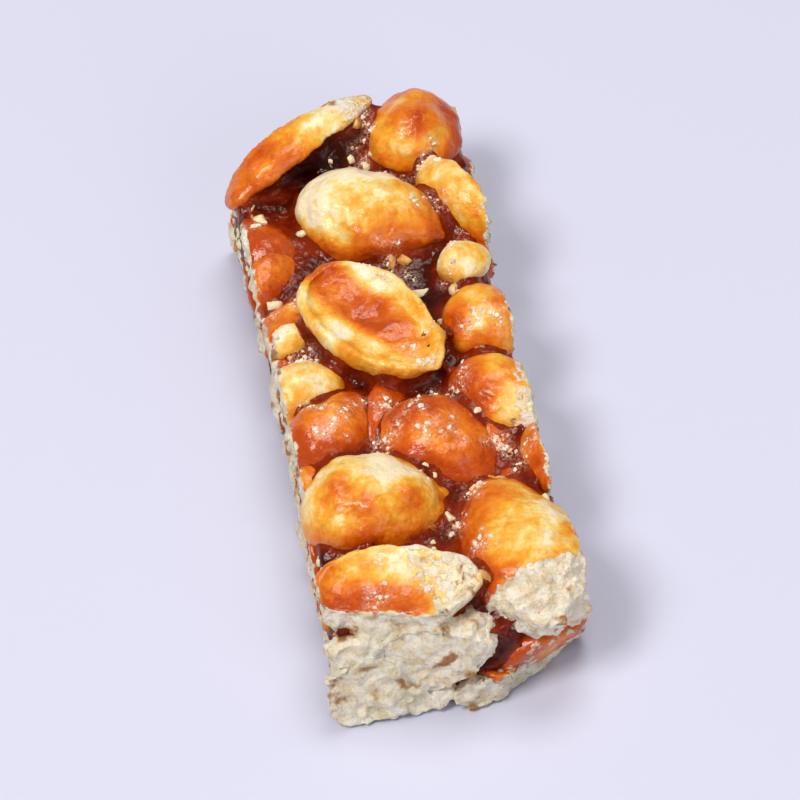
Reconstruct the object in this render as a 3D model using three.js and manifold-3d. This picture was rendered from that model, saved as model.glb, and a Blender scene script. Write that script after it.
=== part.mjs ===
// A bar of peanut brittle: split roasted peanuts set in a slab of boiled sugar, which was cut across into bars.
// Millimetres, +Z up, +Y along the bar, origin at the centre of its base. The bar is one solid: a core of set
// sugar, with the peanuts that show at its top, sides and ends fused on and cut off where the knife went.
import * as THREE from 'three';
import { mergeVertices } from 'three/addons/utils/BufferGeometryUtils.js';
import Module from 'manifold-3d';

// The bar
const LENGTH = 70;
const WIDTH = 26;
const CUT_HEIGHT = 16; // the knife reaches above the highest peanut
const SUGAR_TOP = 9.8; // level of the sugar between the upper peanuts
const SUGAR_RECESS = 0.9; // the sugar breaks back from the cut faces by this much
const WAIST = 1.1; // the long sides draw in by this much at the middle

// The ends broke unevenly: the most by which each corner of an end stands back, and over which stretch of x
const NEAR_TOP_LEFT = { back: 2.4, from: 0, to: -6 };
const NEAR_BASE_RIGHT = { back: 6, from: 3, to: 11 };
const FAR_LEFT = { back: 6, from: 0, to: -12 };

// Waves of the sugar's surface: their heights, and how fast each turns over the two surface coordinates
const TOP_WAVE = 0.55;
const SIDE_WAVE = 0.3;
const SIDE_WAVE_STRETCH = 2;
const WAVES = [{ s: 0.55, t: 0.31, start: 0.4 }, { s: -0.38, t: 0.47, start: 2.1 }];
const CORE_STEPS = { across: 7, along: 18, up: 4 };

// A peanut, in proportion to its width
const HALF_DEPTH = 0.52;
const WHOLE_DEPTH = 0.86;
const FLAT_BULGE = 0.08; // how far the split face stands out, against the dome
const TAPER = 0.16; // the germ end is narrower by this share
const UPPER_STEPS = { round: 12, along: 7 };
const LOWER_STEPS = { round: 10, along: 6 };

// How a peanut lies, as its roll about its own length in degrees
const LIES = { dome: 0, whole: 0, flat: 180, edge: 82 };

// The upper peanuts: centre, size, turn from +X and rise of the leading end, in millimetres and degrees
const UPPER = [
  { lies: 'dome', roll: -45, x: -5.4, y: 30.6, z: 11.8, length: 18, width: 7.4, turn: 27, rise: 13 },
  { lies: 'dome', x: 7.2, y: 30.8, z: 12.0, length: 11.4, width: 9.4, turn: 80, rise: -4 },
  { lies: 'edge', x: 9.2, y: 20.2, z: 10.2, length: 13, width: 7.0, turn: -62, rise: -3 },
  { lies: 'whole', x: 0.8, y: 19.6, z: 10.4, length: 15, width: 10.4, turn: -30, rise: 0 },
  { lies: 'whole', x: 8.7, y: 11.4, z: 11.0, length: 5.2, width: 4.6, turn: 10, rise: 0 },
  { lies: 'dome', x: -9.6, y: 18.2, z: 9.4, length: 11, width: 8, turn: -52, rise: 0 },
  { lies: 'flat', x: -1.6, y: 3.9, z: 11.2, length: 17, width: 10.6, turn: -54, rise: -4 },
  { lies: 'dome', x: 9.4, y: 4.0, z: 10.8, length: 9.6, width: 8.2, turn: -39, rise: 0 },
  { lies: 'whole', x: -9.4, y: 5.0, z: 10.8, length: 4.8, width: 3.6, turn: 20, rise: 0 },
  { lies: 'dome', x: -9.4, y: -1.2, z: 10.6, length: 8.6, width: 7.2, turn: 22, rise: 0 },
  { lies: 'dome', x: 8.9, y: -5.6, z: 10.9, length: 12, width: 8.4, turn: -48, rise: 4 },
  { lies: 'dome', x: -7.7, y: -6.8, z: 10.5, length: 12, width: 8.4, turn: 49, rise: -3 },
  { lies: 'dome', x: 2.3, y: -10.2, z: 10.4, length: 13.6, width: 10.4, turn: -42, rise: 0 },
  { lies: 'edge', x: 11.3, y: -14.4, z: 9.6, length: 10, width: 7, turn: -93, rise: 0 },
  { lies: 'dome', x: -5.2, y: -16.8, z: 11.5, length: 14.4, width: 11.4, turn: 4, rise: 0 },
  { lies: 'whole', x: 7.4, y: -25.4, z: 9.2, length: 19.4, width: 12.0, turn: 101, rise: -3 },
  { lies: 'flat', x: -5.4, y: -29.4, z: 10.2, length: 15.8, width: 11, turn: -6, rise: 4 },
];

// The peanuts of the broken near end, under the upper ones
const NEAR_END = [
  { lies: 'whole', x: -2.4, y: -32.4, z: 6.8, length: 12.5, width: 9.8, turn: 8, rise: 18 },
  { lies: 'whole', x: -8.4, y: -32.6, z: 3.4, length: 11, width: 9, turn: 60, rise: 0 },
  { lies: 'flat', x: 7.4, y: -30.4, z: 1.9, length: 14, width: 9, turn: 14, rise: 0 },
];

// Smaller peanuts and pieces that fill the two broken ends, the near end's first
const END_CHIPS = [
  { lies: 'whole', x: -9.0, y: -31.2, z: 7.4, length: 8.5, width: 4.6, turn: 8, rise: -6 },
  { lies: 'whole', x: -3.4, y: -33.0, z: 1.9, length: 8.0, width: 4.6, turn: 12, rise: 0 },
  { lies: 'whole', x: 7.8, y: -31.0, z: 4.7, length: 10.5, width: 5.4, turn: 28, rise: 8 },
  { lies: 'whole', x: 4.6, y: -32.8, z: 1.8, length: 12.5, width: 5.6, turn: 22, rise: 0 },
  { lies: 'whole', x: 8.2, y: 33.4, z: 6.8, length: 11.0, width: 7.6, turn: 14, rise: 10 },
  { lies: 'flat', x: 2.4, y: 32.8, z: 3.4, length: 12.0, width: 8.4, turn: -8, rise: 0 },
  { lies: 'whole', x: 9.6, y: 33.2, z: 2.3, length: 7.4, width: 4.8, turn: 25, rise: 0 },
  { lies: 'dome', x: -2.6, y: 32.6, z: 6.9, length: 10.6, width: 7.6, turn: 150, rise: -8 },
  { lies: 'whole', x: -9.4, y: 29.6, z: 3.1, length: 10.0, width: 6.6, turn: 20, rise: 4 },
  { lies: 'edge', x: -4.6, y: 32.0, z: 2.6, length: 8.2, width: 5.6, turn: 60, rise: 0 },
];

// The lower peanuts lie in two layers of rows, each peanut a little off its place
const LAYER_HEIGHTS = [2.5, 7.2];
const ROW_PITCH = 7.4;
const ROW_START = -25.5;
const ROW_COUNT = 8;
const COLUMNS = [-8.8, 0, 8.8];
const PLACE_JITTER = 1.3;
const HEIGHT_JITTER = 0.5;
const TURN_JITTER = 36;
const RISE_JITTER = 16;
const LOWER_LENGTH = { least: 10.5, spread: 4.5 };
const LOWER_WIDTH = { least: 6.8, spread: 2.4 };
const REACH = 6; // a lower peanut nearer than this to a side or an end shows there
const CUT_JITTER = 1.3; // about half of the peanuts broke inside the cut, by at most half of this
const SEED = 5021;
const CHIP_SEED = 41;

/** Draws numbers from 0 to 1, the same ones for the same seed. */
function makeDraw(seed) {
  let state = seed;
  return () => {
    state = (state * 48271) % 2147483647;
    return state / 2147483647;
  };
}

/** From 0 at a corner's start to its full setback where the corner ends. */
function setback({ back, from, to }, x) {
  return back * THREE.MathUtils.clamp((x - from) / (to - from), 0, 1);
}

/** Half of the bar's width at y. */
function halfWidth(y) {
  return WIDTH / 2 - WAIST * Math.cos((Math.PI * y) / LENGTH);
}

/** The near end's y at x and height z: it stands back at the top left and at the base on the right. */
function nearEnd(x, z) {
  const rise = THREE.MathUtils.clamp(z / SUGAR_TOP, 0, 1);
  return -LENGTH / 2 + rise * setback(NEAR_TOP_LEFT, x) + (1 - rise) * setback(NEAR_BASE_RIGHT, x);
}

/** The far end's y at x: it stands back on the left. */
function farEnd(x) {
  return LENGTH / 2 - setback(FAR_LEFT, x);
}

/** A smooth uneven wave between -1 and 1 over two surface coordinates. */
function wave(s, t) {
  const turns = WAVES.map((one) => Math.sin(one.s * s + one.t * t + one.start));
  return turns.reduce((a, b) => a + b) / WAVES.length;
}

/** The core of set sugar: a box drawn to the bar's outline, set back from its cuts, with waves in its faces. */
function coreGeometry() {
  const { across, along, up } = CORE_STEPS;
  const shape = new THREE.BoxGeometry(2, 2, 1, across, along, up).translate(0, 0, 0.5);
  const place = shape.getAttribute('position');
  for (let i = 0; i < place.count; i += 1) {
    const [u, v, w] = [place.getX(i), place.getY(i), place.getZ(i)];
    const middleY = (v * LENGTH) / 2;
    const z = w * (SUGAR_TOP + TOP_WAVE * wave((u * WIDTH) / 2, middleY));
    const height = SIDE_WAVE_STRETCH * z;
    const x = u * (halfWidth(middleY) - SUGAR_RECESS + SIDE_WAVE * wave(middleY, height));
    const near = nearEnd(x, z) + SUGAR_RECESS + SIDE_WAVE * wave(x, height);
    const far = farEnd(x) - SUGAR_RECESS + SIDE_WAVE * wave(height, x);
    place.setXYZ(i, x, near + ((v + 1) / 2) * (far - near), z);
  }
  return shape;
}

/** One peanut about its own centre, its length along X and the dome of a half towards +Z. */
function peanutGeometry({ lies, length, width }, steps) {
  const whole = lies === 'whole';
  const depth = width * (whole ? WHOLE_DEPTH / 2 : HALF_DEPTH);
  const shape = new THREE.SphereGeometry(1, steps.round, steps.along).rotateZ(-Math.PI / 2);
  const place = shape.getAttribute('position');
  for (let i = 0; i < place.count; i += 1) {
    const [x, y, z] = [place.getX(i), place.getY(i), place.getZ(i)];
    const full = 1 - TAPER * x;
    const up = whole || z > 0 ? z : z * FLAT_BULGE;
    const middle = whole ? 0 : depth / 2;
    place.setXYZ(i, (x * length) / 2, (y * full * width) / 2, up * full * depth - middle);
  }
  return shape;
}

/** Turns a peanut to the way it lies and moves it to its place. */
function placePeanut(shape, peanut) {
  const roll = THREE.MathUtils.degToRad(LIES[peanut.lies] + (peanut.roll ?? 0));
  const rise = THREE.MathUtils.degToRad(peanut.rise);
  const turn = THREE.MathUtils.degToRad(peanut.turn);
  return shape.rotateX(roll).rotateY(-rise).rotateZ(turn).translate(peanut.x, peanut.y, peanut.z);
}

/** The lower peanuts that show at the top, a side or an end, by rows and columns in each layer. */
function lowerPeanuts(draw) {
  const ways = ['dome', 'flat', 'edge', 'whole'];
  const off = (most) => (2 * draw() - 1) * most;
  const peanuts = [];
  LAYER_HEIGHTS.forEach((height, layer) => {
    for (let row = 0; row < ROW_COUNT; row += 1) {
      for (const column of COLUMNS) {
        const stagger = (ROW_PITCH / 2) * ((layer + COLUMNS.indexOf(column)) % 2);
        const peanut = {
          lies: ways[Math.floor(draw() * ways.length)],
          x: column + off(PLACE_JITTER),
          y: ROW_START + row * ROW_PITCH + stagger + off(PLACE_JITTER),
          z: height + off(HEIGHT_JITTER),
          length: LOWER_LENGTH.least + draw() * LOWER_LENGTH.spread,
          width: LOWER_WIDTH.least + draw() * LOWER_WIDTH.spread,
          turn: Math.sign(column || 1) * 90 * Math.round(draw()) + off(TURN_JITTER),
          rise: off(RISE_JITTER),
        };
        const fromSide = halfWidth(peanut.y) - Math.abs(peanut.x);
        const fromEnd = farEnd(peanut.x) - peanut.y;
        if (layer > 0 || fromSide < REACH || fromEnd < REACH) {
          peanuts.push(peanut);
        }
      }
    }
  });
  return peanuts;
}

/** A closed solid of a shape whose shared vertices are merged first. */
function solidOf(wasm, shape) {
  shape.deleteAttribute('normal');
  shape.deleteAttribute('uv');
  const merged = mergeVertices(shape, 1e-4);
  return new wasm.Manifold(new wasm.Mesh({
    numProp: 3,
    vertProperties: new Float32Array(merged.getAttribute('position').array),
    triVerts: new Uint32Array(merged.getIndex().array),
  }));
}

/** An end's plane where a peanut lies: its y there, and its slopes along x and z. */
function endPlane(end, { x, z }) {
  const y = end(x, z);
  return { y, alongX: (end(x + 1, z) - end(x - 1, z)) / 2, alongZ: (end(x, z + 1) - end(x, z - 1)) / 2 };
}

/** The block that the knife leaves at a peanut: each of its sides may have broken a little inside the cut. */
function cutBlock(wasm, peanut, draw) {
  const inside = () => Math.max(0, draw() * CUT_JITTER - CUT_JITTER / 2);
  const half = halfWidth(peanut.y);
  const [left, right, nearIn, farIn] = [-half + inside(), half - inside(), inside(), -inside()];
  const [near, far] = [endPlane(nearEnd, peanut), endPlane(farEnd, peanut)];
  const block = new THREE.BoxGeometry(1, 1, 1);
  const place = block.getAttribute('position');
  for (let i = 0; i < place.count; i += 1) {
    const x = place.getX(i) < 0 ? left : right;
    const z = place.getZ(i) < 0 ? 0 : CUT_HEIGHT;
    const [end, shift] = place.getY(i) < 0 ? [near, nearIn] : [far, farIn];
    const y = end.y + shift + end.alongX * (x - peanut.x) + end.alongZ * (z - peanut.z);
    place.setXYZ(i, x, THREE.MathUtils.clamp(y, -LENGTH / 2, LENGTH / 2), z);
  }
  return solidOf(wasm, block);
}

/** The largest of the closed pieces that a join gave: loose scraps are dropped. */
function largest(solid) {
  return solid.decompose().reduce((a, b) => (a.volume() > b.volume() ? a : b));
}

/** The bar's one solid. */
function barSolid(wasm) {
  const draw = makeDraw(SEED);
  let bar = solidOf(wasm, coreGeometry());
  const fuse = (peanuts, steps, cutDraw = draw) => {
    for (const peanut of peanuts) {
      const nut = solidOf(wasm, placePeanut(peanutGeometry(peanut, steps), peanut));
      bar = bar.add(nut.intersect(cutBlock(wasm, peanut, cutDraw)));
    }
  };
  fuse(UPPER, UPPER_STEPS);
  fuse(NEAR_END, UPPER_STEPS);
  fuse(lowerPeanuts(draw), LOWER_STEPS);
  fuse(END_CHIPS, LOWER_STEPS, makeDraw(CHIP_SEED));
  return largest(bar);
}

/** A three.js geometry of a finished solid. */
function geometryOf(solid) {
  const mesh = solid.getMesh();
  const shape = new THREE.BufferGeometry();
  shape.setAttribute('position', new THREE.BufferAttribute(mesh.vertProperties, mesh.numProp));
  shape.setIndex(new THREE.BufferAttribute(mesh.triVerts, 1));
  shape.computeVertexNormals();
  return shape;
}

const wasm = await Module();
wasm.setup();

const brittle = new THREE.MeshStandardMaterial({ color: 0xd98a35, roughness: 0.3, metalness: 0 });
const bar = new THREE.Mesh(geometryOf(barSolid(wasm)), brittle);
bar.name = 'brittle_bar';

const model = new THREE.Group();
model.add(bar);

export default model;
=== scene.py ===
"""Looks of a bar of peanut brittle: split roasted peanuts set in boiled sugar, cut across from a slab.

Shapes are modelled in millimetres, in the frame's own axes (+Y along the bar, +Z up, the base at z = 0), and
each finished piece is scaled to metres. The peanuts lie where the frame's solid has them, by the same list
and the same draws.
"""

import logging
import math
from contextlib import contextmanager
from dataclasses import dataclass, field
from enum import Enum
from typing import Callable, Iterator, Optional, Sequence

import bmesh
import bpy
import numpy as np
from bpy.types import Material, Mesh, NodeSocket, Object
from mathutils import Color, Matrix, Vector
from mathutils.bvhtree import BVHTree
from mathutils.kdtree import KDTree

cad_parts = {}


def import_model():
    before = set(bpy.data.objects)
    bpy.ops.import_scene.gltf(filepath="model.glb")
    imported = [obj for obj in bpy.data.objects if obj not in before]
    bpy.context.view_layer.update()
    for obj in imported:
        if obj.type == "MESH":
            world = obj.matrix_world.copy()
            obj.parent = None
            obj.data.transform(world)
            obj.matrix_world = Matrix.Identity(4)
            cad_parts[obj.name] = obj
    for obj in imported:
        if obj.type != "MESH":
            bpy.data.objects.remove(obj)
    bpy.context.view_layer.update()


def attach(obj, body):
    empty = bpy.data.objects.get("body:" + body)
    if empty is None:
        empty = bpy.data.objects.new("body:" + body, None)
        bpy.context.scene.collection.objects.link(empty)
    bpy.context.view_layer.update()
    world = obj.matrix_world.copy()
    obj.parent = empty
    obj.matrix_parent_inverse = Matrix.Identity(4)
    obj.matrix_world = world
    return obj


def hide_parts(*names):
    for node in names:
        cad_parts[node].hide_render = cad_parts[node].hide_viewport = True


LOG = logging.getLogger("brittle")
METRES = 0.001
BODY = "root"
NODE = "brittle_bar"

PEANUT_SEED = 5021
CHIP_SEED = 41
TONE_SEED = 77
GRAIN_SEED = 311
CRUMB_SEED = 907

ON_PLANE = 1e-3
DOWN = Vector((0.0, 0.0, -1.0))

Colour = tuple[float, float, float]
Plane = tuple[Vector, Vector]
Range = tuple[float, float]
Stops = tuple[tuple[float, Colour], ...]
End = Callable[[float, float], float]
Name = str | int


# ---------------------------------------------------------------- modelling tools


def only(obj: Object) -> Object:
    """Selects an object alone and makes it active.

    Args:
        obj: The object to work on.

    Returns:
        The same object.
    """
    for other in list(bpy.context.selected_objects):
        other.select_set(False)
    obj.select_set(True)
    bpy.context.view_layer.objects.active = obj
    return obj


@contextmanager
def editing(obj: Object) -> Iterator[Object]:
    """Opens an object in edit mode, and leaves that mode afterwards.

    Args:
        obj: The mesh object to edit.

    Returns:
        The object, inside the with block.
    """
    only(obj)
    bpy.ops.object.mode_set(mode="EDIT")
    try:
        yield obj
    finally:
        bpy.ops.object.mode_set(mode="OBJECT")


def pick(obj: Object, parts: str, test: Callable[[Vector, Vector], bool]) -> int:
    """Selects the faces, edges or vertices of an edited mesh that pass a test.

    Args:
        obj: The object in edit mode.
        parts: FACE, EDGE or VERT.
        test: Takes a part's middle and its normal.

    Returns:
        How many parts are selected.
    """
    bpy.ops.mesh.select_all(action="DESELECT")
    bpy.ops.mesh.select_mode(type=parts)
    work = bmesh.from_edit_mesh(obj.data)
    if parts == "FACE":
        rows = [(face, face.calc_center_median(), face.normal) for face in work.faces]
    elif parts == "EDGE":
        ends = [edge.verts for edge in work.edges]
        rows = [(edge, (a.co + b.co) / 2, a.normal) for edge, (a, b) in zip(work.edges, ends)]
    else:
        rows = [(vert, vert.co, vert.normal) for vert in work.verts]
    found = [part for part, middle, normal in rows if test(middle, normal)]
    for part in found:
        part.select_set(True)
    bmesh.update_edit_mesh(obj.data)
    return len(found)


def finish_with(obj: Object, kind: str, **settings: object) -> None:
    """Adds one modifier to an object and applies it.

    Args:
        obj: The object.
        kind: The modifier's type, such as REMESH.
        **settings: The modifier's values by name.
    """
    only(obj)
    modifier = obj.modifiers.new(kind.title(), kind)
    for name, value in settings.items():
        setattr(modifier, name, value)
    bpy.ops.object.modifier_apply(modifier=modifier.name)


def remesh(obj: Object, voxel: float) -> None:
    """Rebuilds an object's surface from even cells of a size in millimetres."""
    finish_with(obj, "REMESH", mode="VOXEL", voxel_size=voxel, use_smooth_shade=True)


def keep_largest_part(obj: Object) -> None:
    """Deletes the loose parts of an object's mesh, but for the one with the most vertices.

    Args:
        obj: The object.
    """
    with editing(obj):
        bpy.ops.mesh.select_mode(type="VERT")
        bpy.ops.mesh.select_all(action="DESELECT")
        left = set(bmesh.from_edit_mesh(obj.data).verts)
        parts = []
        while left:
            part = [left.pop()]
            for vert in part:
                fresh = left.intersection(edge.other_vert(vert) for edge in vert.link_edges)
                part.extend(fresh)
                left -= fresh
            parts.append(part)
        for part in sorted(parts, key=len)[:-1]:
            for vert in part:
                vert.select_set(True)
        if len(parts) > 1:
            bpy.ops.mesh.delete(type="VERT")


def relax(obj: Object, times: int, share: float = 0.5) -> None:
    """Smooths an object's surface a number of times."""
    finish_with(obj, "SMOOTH", factor=share, iterations=times)


def swell(obj: Object, distance: float, group: str = "") -> None:
    """Moves an object's surface, or the part in a vertex group, out along its normals, or in if below 0."""
    finish_with(obj, "DISPLACE", strength=distance, mid_level=0.0, vertex_group=group)


def clouds(size: float) -> bpy.types.Texture:
    """Gives a soft random pattern for displacement, made once for each size.

    Args:
        size: The pattern's size in millimetres.

    Returns:
        The texture.
    """
    name = f"clouds_{size:g}"
    made = bpy.data.textures.get(name)
    if made is None:
        made = bpy.data.textures.new(name, "CLOUDS")
        made.noise_scale = size
        made.noise_depth = 1
        made.noise_basis = "ORIGINAL_PERLIN"
    return made


def roughen(obj: Object, height: float, size: float, level: float = 0.5, group: str = "") -> None:
    """Pushes an object's surface in and out by a soft random pattern.

    Args:
        obj: The object.
        height: The pattern's full height in millimetres.
        size: The pattern's size in millimetres.
        level: The share of the height that is below the surface.
        group: The vertex group that takes the pattern, or the whole object.
    """
    finish_with(obj, "DISPLACE", texture=clouds(size), texture_coords="LOCAL", strength=height,
                mid_level=level, vertex_group=group)


def duplicate(obj: Object, name: str, place: Optional[Matrix] = None) -> Object:
    """Copies an object with a mesh of its own.

    Args:
        obj: The object to copy.
        name: The copy's name.
        place: Where the copy goes, worked into its mesh.

    Returns:
        The copy.
    """
    copy = obj.copy()
    copy.data = obj.data.copy()
    copy.name = copy.data.name = name
    bpy.context.scene.collection.objects.link(copy)
    if place is not None:
        copy.data.transform(place)
    return copy


def join(objects: Sequence[Object], name: str) -> Object:
    """Joins objects into the first of them.

    Args:
        objects: The objects.
        name: The joined object's name.

    Returns:
        The joined object.
    """
    only(objects[0])
    for obj in objects[1:]:
        obj.select_set(True)
    bpy.ops.object.join()
    objects[0].name = objects[0].data.name = name
    return objects[0]


def added(name: str) -> Object:
    """Names the object that was added last, and works its place into its mesh.

    Args:
        name: The object's name.

    Returns:
        The object.
    """
    made = only(bpy.context.object)
    made.name = made.data.name = name
    bpy.ops.object.transform_apply(location=True, rotation=True, scale=True)
    return made


def remove(obj: Object) -> None:
    """Deletes an object and its mesh.

    Args:
        obj: The object.
    """
    mesh = obj.data
    bpy.data.objects.remove(obj)
    bpy.data.meshes.remove(mesh)


def points(mesh: Mesh) -> np.ndarray:
    """Gives a mesh's vertices.

    Args:
        mesh: The mesh.

    Returns:
        One row of x, y and z for each vertex.
    """
    rows = np.empty(len(mesh.vertices) * 3, np.float32)
    mesh.vertices.foreach_get("co", rows)
    return rows.reshape(-1, 3).astype(float)


def set_points(mesh: Mesh, rows: np.ndarray) -> None:
    """Moves a mesh's vertices to rows of x, y and z."""
    mesh.vertices.foreach_set("co", rows.astype(np.float32).ravel())
    mesh.update()


def moved_by(rows: np.ndarray, place: Matrix) -> np.ndarray:
    """Gives rows of x, y and z moved by a matrix."""
    matrix = np.array(place)
    return rows @ matrix[:3, :3].T + matrix[:3, 3]


def heights_over(plane: Plane, rows: np.ndarray) -> np.ndarray:
    """Gives how far rows of x, y and z lie over a plane, on the side that its normal points to."""
    return (rows - np.array(plane[0])) @ np.array(plane[1])


def set_field(mesh: Mesh, name: str, values: np.ndarray) -> None:
    """Stores one number for each vertex of a mesh under a name."""
    attribute = mesh.attributes.get(name) or mesh.attributes.new(name, "FLOAT", "POINT")
    attribute.data.foreach_set("value", values.astype(np.float32))


def get_field(mesh: Mesh, name: str) -> np.ndarray:
    """Gives what set_field stored.

    Args:
        mesh: The mesh.
        name: The name that the numbers are stored under.

    Returns:
        One number for each vertex.
    """
    values = np.empty(len(mesh.vertices), np.float32)
    mesh.attributes[name].data.foreach_get("value", values)
    return values.astype(float)


def tree_of(obj: Object) -> BVHTree:
    """Gives the search tree of an object's surface, in the object's own coordinates."""
    mesh = obj.data
    return BVHTree.FromPolygons([v.co for v in mesh.vertices], [p.vertices[:] for p in mesh.polygons])


def distances(rows: np.ndarray, targets: Sequence[Vector] | np.ndarray) -> np.ndarray:
    """Gives how far points lie from the nearest of some other points.

    Args:
        rows: The points, as rows of x, y and z.
        targets: The other points.

    Returns:
        One distance for each row.
    """
    tree = KDTree(len(targets))
    for index, target in enumerate(targets):
        tree.insert(target, index)
    tree.balance()
    return np.array([tree.find(row)[2] for row in rows])


def ramp01(values: np.ndarray, low: float, high: float) -> np.ndarray:
    """Gives 0 at low and 1 at high, with a straight run between."""
    return np.clip((values - low) / (high - low), 0.0, 1.0)


def mark_zone(obj: Object, name: str, shares: np.ndarray, steps: int) -> None:
    """Puts an object's vertices in a new vertex group, each with its share, in even steps.

    Args:
        obj: The object.
        name: The group's name.
        shares: One number from 0 to 1 for each vertex.
        steps: How many steps the shares are rounded up to.
    """
    group = obj.vertex_groups.new(name=name)
    for step in range(1, steps + 1):
        inside = np.flatnonzero((shares > (step - 1) / steps) & (shares <= step / steps))
        group.add(inside.tolist(), step / steps, "REPLACE")


def shade_smooth(obj: Object) -> None:
    """Shades an object's faces smooth."""
    only(obj)
    bpy.ops.object.shade_smooth()


def settle(obj: Object, material: Material) -> None:
    """Scales a finished piece to metres, dresses it and puts it on the bar.

    Args:
        obj: The piece, modelled in millimetres.
        material: Its finish.
    """
    rows = points(obj.data)
    rows[:, 2] = np.maximum(rows[:, 2], 0.0)
    set_points(obj.data, rows)
    obj.data.transform(Matrix.Scale(METRES, 4))
    obj.data.materials.clear()
    obj.data.materials.append(material)
    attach(obj, BODY)
    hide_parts(NODE)


# ---------------------------------------------------------------- the bar's outline and its peanuts


class Draw:
    """Draws numbers from 0 to 1, the same ones for the same seed."""

    MULTIPLIER = 48271
    MODULUS = 2147483647

    def __init__(self, seed: int) -> None:
        """Starts from a seed."""
        self.state = seed

    def __call__(self) -> float:
        """Gives the next number."""
        self.state = self.state * self.MULTIPLIER % self.MODULUS
        return self.state / self.MODULUS

    def off(self, most: float) -> float:
        """Gives the next number from -most to most."""
        return (2 * self() - 1) * most

    def between(self, low: float, high: float) -> float:
        """Gives the next number from low to high."""
        return low + (high - low) * self()

    def pace(self, x: float, y: float, z: Optional[float] = None) -> Vector:
        """Gives a step of up to x, y and z either way, and of nothing along z where that isn't given."""
        return Vector((self.off(x), self.off(y), 0.0 if z is None else self.off(z)))


class Lies(Enum):
    """How a peanut lies: a half on its flat side, one with that side up, one on edge, or a whole one."""

    DOME = "dome"
    FLAT = "flat"
    EDGE = "edge"
    WHOLE = "whole"

    @property
    def roll(self) -> float:
        """Its roll about its own length, in degrees."""
        return {Lies.FLAT: 180.0, Lies.EDGE: 82.0}.get(self, 0.0)


def turn_about(axis: str, degrees: float) -> Matrix:
    """Gives a turn about an axis."""
    return Matrix.Rotation(math.radians(degrees), 4, axis)


@dataclass(frozen=True)
class Peanut:
    """One peanut: its centre and size in millimetres, its turns in degrees, and how sugar glazes it.

    The glaze grows from 0, bare, to 1, dark. It thins by bare_and_highlight_lean towards the way
    bare_and_highlight_way, in degrees from +X, which makes that side paler: partly bare nut, partly a
    painted highlight on the side the lamps light. It thickens by soak_and_shade near the sugar: partly the
    sugar's own film, partly painted shade low down where the peanut meets the sugar. It pools by pool_glaze
    on a flat side,
    in the ellipse of pool: its middle and half its size, as shares of half the peanut's length and width.
    What lies further than torn_from from the peanut's centre, the way torn_way, is torn open, or only bare
    of its skin where torn_share is low. Its cut and torn faces are crumbly where crumbly is 1, and glazed
    where it is low.
    """

    lies: Lies
    x: float
    y: float
    z: float
    length: float
    width: float
    turn: float
    rise: float
    roll: float = 0.0
    glaze: float = 0.4
    # the way and the lean below make one side of the peanut paler: partly bare nut, partly a painted
    # highlight
    bare_and_highlight_way: float = 90.0
    bare_and_highlight_lean: float = 0.1
    torn_way: float = -90.0
    torn_from: float = 99.0
    torn_share: float = 1.0
    pool: tuple[float, float, float, float] = (0.0, 0.0, 0.65, 0.65)
    pool_glaze: float = 0.42
    # how much the glaze darkens near the sugar: partly the sugar's film, partly painted shade
    soak_and_shade: float = 1.0
    crumbly: float = 1.0
    half_depth: float = 0.52
    whole_depth: float = 0.86

    def depth(self) -> float:
        """Gives its thickness from the flat side to the dome, or from its middle for a whole one."""
        return self.width * (self.whole_depth / 2 if self.lies is Lies.WHOLE else self.half_depth)

    def place(self) -> Matrix:
        """Gives its place.

        Returns:
            The matrix from a unit kernel to this peanut.
        """
        depth = self.depth()
        middle = 0.0 if self.lies is Lies.WHOLE else -depth / 2
        size = Matrix.Diagonal((self.length / 2, self.width / 2, depth, 1.0))
        roll = turn_about("X", self.lies.roll + self.roll) @ Matrix.Translation((0.0, 0.0, middle))
        turn = turn_about("Z", self.turn) @ turn_about("Y", -self.rise)
        return Matrix.Translation((self.x, self.y, self.z)) @ turn @ roll @ size

    def along(self, rows: np.ndarray, way: float) -> np.ndarray:
        """Gives how far points lie from its centre along a way, in degrees from +X."""
        turn = math.radians(way)
        return (rows[:, 0] - self.x) * math.cos(turn) + (rows[:, 1] - self.y) * math.sin(turn)


@dataclass(frozen=True)
class Setback:
    """How far a corner of an end stands back, and over which stretch of x it comes in."""

    back: float
    start: float
    stop: float

    def at(self, x: float) -> float:
        """Gives the setback at x."""
        return self.back * min(1.0, max(0.0, (x - self.start) / (self.stop - self.start)))


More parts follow.
